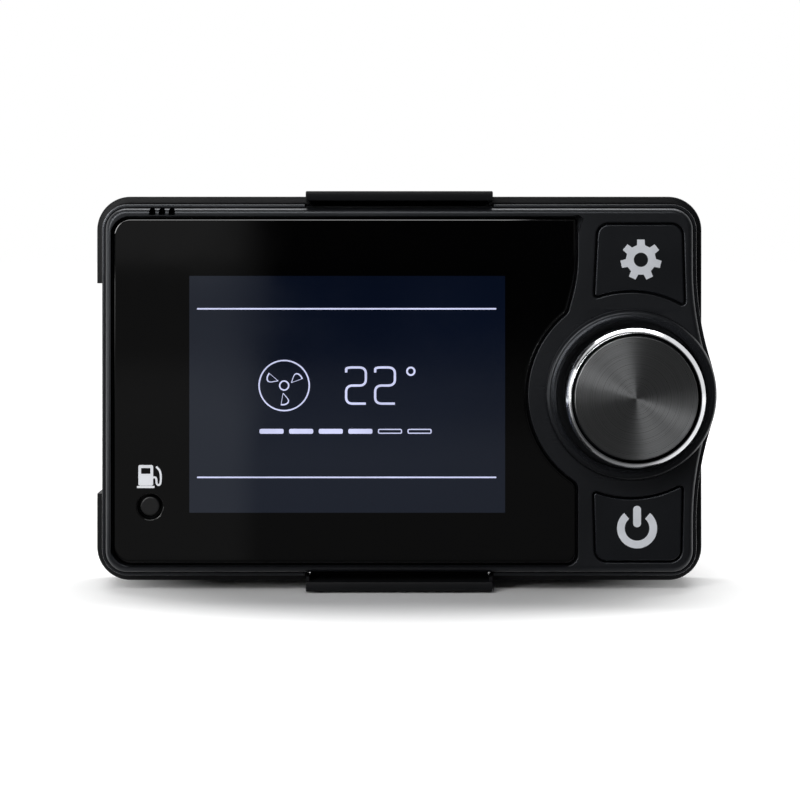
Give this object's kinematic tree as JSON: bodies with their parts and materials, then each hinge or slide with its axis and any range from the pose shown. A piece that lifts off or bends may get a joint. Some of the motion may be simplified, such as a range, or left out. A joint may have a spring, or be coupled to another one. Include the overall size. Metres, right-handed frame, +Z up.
{
  "type": "heater control panel",
  "caption": "Flat rectangular control panel of an air heater in a wall cradle, with a colour display, a push and turn knob, keys and snap arms.",
  "frame": {"origin": "centre of the cradle's back face, on the wall plane", "axes": "+X to the right of someone who faces the panel, +Y into the wall, +Z up; the display, keys and knob face -Y"},
  "size_m": [0.1136, 0.0298, 0.0728],
  "materials": {
    "housing_plastic": "fine textured black",
    "key_plastic": "satin black",
    "lens_gloss": "polished black window",
    "display": "lit dark blue",
    "white_plastic": "moulded white",
    "foam": "black foam",
    "board": "green solder mask",
    "amber_film": "amber film",
    "steel": "plain steel",
    "zinc": "cast zinc alloy",
    "chrome": "bright chrome",
    "spun_aluminium": "dark, spun in circles"
  },
  "bodies": {
    "panel": {"mounting_cradle": "housing_plastic", "rear_shell": "housing_plastic", "front_housing": "housing_plastic", "lens_glass": "lens_gloss", "lens_tape": "foam", "display_cell": "display", "backlight_frame": "white_plastic", "display_pad": "foam", "display_flex": "amber_film", "flex_connector": "white_plastic", "main_board": "board", "controller_chip": "key_plastic", "room_sensor": "key_plastic", "rear_connector": "white_plastic", "connector_pin_1": "steel", "connector_pin_2": "steel", "connector_pin_3": "steel", "connector_pin_4": "steel", "settings_switch_case": "steel", "power_switch_case": "steel", "prime_switch_case": "steel", "encoder_base": "key_plastic", "encoder_detent_spring": "steel", "encoder_case": "zinc", "case_screw_1": "steel", "case_screw_2": "steel", "case_screw_3": "steel", "case_screw_4": "steel", "board_screw_1": "steel", "board_screw_2": "steel", "board_screw_3": "steel", "board_screw_4": "steel"},
    "push_carrier": {"encoder_push_plunger": "white_plastic"},
    "knob": {"encoder_shaft": "zinc", "knob_core": "key_plastic", "knob_ring": "chrome", "knob_cap": "spun_aluminium"},
    "rotor": {"encoder_rotor": "white_plastic"},
    "settings_button": {"settings_key": "key_plastic", "settings_switch_plunger": "key_plastic"},
    "power_button": {"power_key": "key_plastic", "power_switch_plunger": "key_plastic"},
    "prime_push": {"prime_button": "key_plastic", "prime_switch_plunger": "key_plastic"}
  },
  "joints": [
    {"name": "knob_push", "type": "slide", "parent": "panel", "child": "push_carrier", "axis": [0, 1, 0], "range_m": [0, 0.0005], "stiffness_N_per_m": 400, "springref_m": -0.001},
    {"name": "knob_turn", "type": "hinge", "parent": "push_carrier", "child": "knob", "pos_m": [0.0422, -0.02, -0.0008], "axis": [0, -1, 0], "continuous": true},
    {"name": "rotor_turn", "type": "hinge", "parent": "panel", "child": "rotor", "pos_m": [0.0422, -0.0115, -0.0008], "axis": [0, -1, 0], "continuous": true},
    {"name": "settings_press", "type": "slide", "parent": "panel", "child": "settings_button", "axis": [0, 1, 0], "range_m": [0, 0.0004], "stiffness_N_per_m": 120, "springref_m": -0.001},
    {"name": "power_press", "type": "slide", "parent": "panel", "child": "power_button", "axis": [0, 1, 0], "range_m": [0, 0.0004], "stiffness_N_per_m": 120, "springref_m": -0.001},
    {"name": "prime_press", "type": "slide", "parent": "panel", "child": "prime_push", "axis": [0, 1, 0], "range_m": [0, 0.0004], "stiffness_N_per_m": 40, "springref_m": -0.001}
  ],
  "couplings": [
    {"joint": "rotor_turn", "follows": "knob_turn", "ratio": 1}
  ]
}
